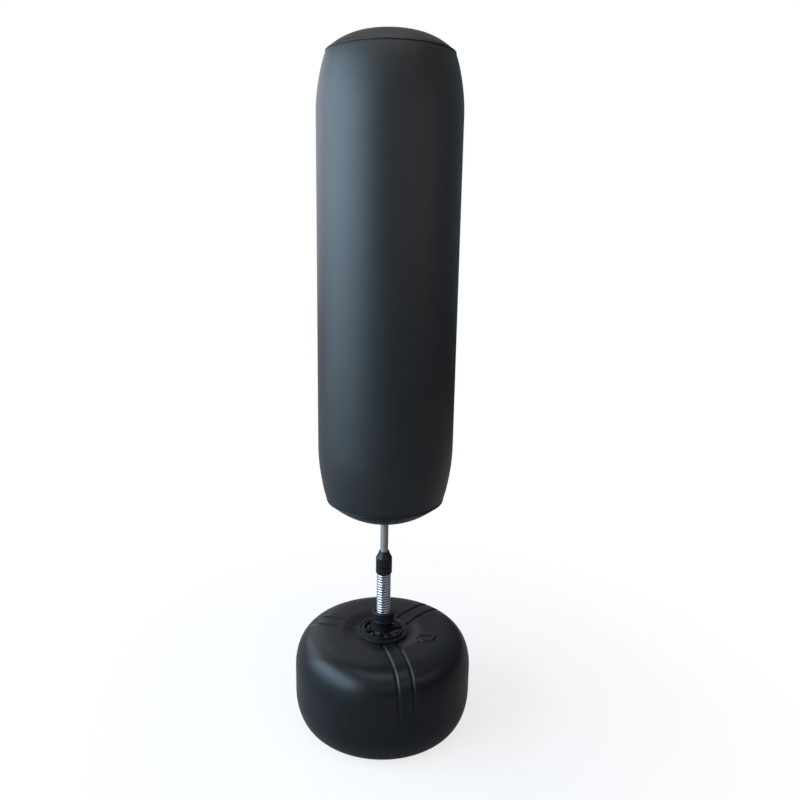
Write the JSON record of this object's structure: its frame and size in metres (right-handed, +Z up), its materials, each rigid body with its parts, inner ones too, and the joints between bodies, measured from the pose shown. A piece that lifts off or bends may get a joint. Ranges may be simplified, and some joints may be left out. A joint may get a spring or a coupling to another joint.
{
  "type": "inflatable punching bag",
  "caption": "Tall inflated bag on a slim height-adjustable pole, carried by a coil spring on a round fillable base.",
  "frame": {"origin": "centre of the base's underside, on the floor", "axes": "+Z up along the pole, -Y towards the viewer in the picture, +X to the viewer's right"},
  "size_m": [0.45, 0.45, 1.6621],
  "materials": {
    "tank_plastic": "satin",
    "hub_plastic": "satin",
    "chrome_wire": "polished",
    "satin_steel": "satin",
    "dark_steel": "satin",
    "brass": "machined",
    "leatherette": "matte",
    "rubber": "matte",
    "bladder_vinyl": "satin",
    "zip_tape": "woven"
  },
  "bodies": {
    "base": {"base_tank": "tank_plastic", "socket_flange": "hub_plastic", "anchor_bolt": "satin_steel", "spring_lower_plug": "satin_steel", "base_insert_1": "brass", "base_insert_2": "brass", "base_insert_3": "brass", "base_insert_4": "brass", "base_insert_5": "brass", "base_insert_6": "brass", "flange_bolt_1": "dark_steel", "flange_bolt_2": "dark_steel", "flange_bolt_3": "dark_steel", "flange_bolt_4": "dark_steel", "flange_bolt_5": "dark_steel", "flange_bolt_6": "dark_steel"},
    "coil": {"spring": "chrome_wire"},
    "post": {"spring_top_cup": "hub_plastic", "spring_top_plug": "satin_steel", "inner_post_tube": "satin_steel", "inner_post_pin": "satin_steel", "post_guide_bush": "hub_plastic"},
    "pole": {"pole_tube": "satin_steel", "lock_body": "hub_plastic", "pole_cap": "rubber"},
    "collet": {"lock_collet": "rubber"},
    "nut": {"lock_nut": "hub_plastic"},
    "bag": {"bladder": "bladder_vinyl", "cover_top": "leatherette", "cover_side": "leatherette", "cover_bottom": "leatherette", "piping_top": "leatherette", "piping_bottom": "leatherette", "valve_body": "rubber", "valve_eyelet": "dark_steel", "zip_tape": "zip_tape"},
    "stopper": {"valve_stopper": "rubber"},
    "slider": {"zip_slider": "dark_steel"},
    "tab": {"zip_tab": "dark_steel"},
    "gasket": {"filler_gasket": "rubber"},
    "plug": {"filler_plug": "hub_plastic"}
  },
  "joints": [
    {"name": "spring_bend_x", "type": "hinge", "parent": "base", "child": "coil", "pos_m": [0, 0, 0.3181], "axis": [1, 0, 0], "range_deg": [-25, 25], "stiffness_Nm_per_rad": 220, "deforming": ["spring"]},
    {"name": "spring_bend_y", "type": "hinge", "parent": "coil", "child": "post", "pos_m": [0, 0, 0.3704], "axis": [0, 1, 0], "range_deg": [-25, 25], "stiffness_Nm_per_rad": 220},
    {"name": "pole_height", "type": "slide", "parent": "post", "child": "pole", "axis": [0, 0, 1], "range_m": [0, 0.15]},
    {"name": "lock_travel", "type": "slide", "parent": "pole", "child": "collet", "axis": [0, 0, -1], "range_m": [0, 0.0012]},
    {"name": "lock_turn", "type": "hinge", "parent": "collet", "child": "nut", "pos_m": [0, 0, 0.4275], "axis": [0, 0, 1], "range_deg": [0, 180]},
    {"name": "bag_turn", "type": "hinge", "parent": "pole", "child": "bag", "pos_m": [0, 0, 1.1], "axis": [0, 0, 1], "continuous": true},
    {"name": "stopper_pull", "type": "slide", "parent": "bag", "child": "stopper", "axis": [0.1732, 0.3, -0.9381], "range_m": [0, 0.02]},
    {"name": "zip_run", "type": "slide", "parent": "bag", "child": "slider", "axis": [0, 0, -1], "range_m": [0, 0.355]},
    {"name": "tab_flip", "type": "hinge", "parent": "slider", "child": "tab", "pos_m": [0, 0.171, 1.148], "axis": [1, 0, 0], "range_deg": [0, 165]},
    {"name": "filler_lift", "type": "slide", "parent": "base", "child": "gasket", "axis": [0, 0, 1], "range_m": [0, 0.024]},
    {"name": "filler_turn", "type": "hinge", "parent": "gasket", "child": "plug", "pos_m": [0.10968, -0.03458, 0.24], "axis": [0, 0, 1], "range_deg": [0, 1440]}
  ],
  "couplings": [
    {"joint": "lock_travel", "follows": "lock_turn", "m_per_rad": 0.00038197},
    {"joint": "filler_lift", "follows": "filler_turn", "m_per_rad": 0.00095493}
  ]
}
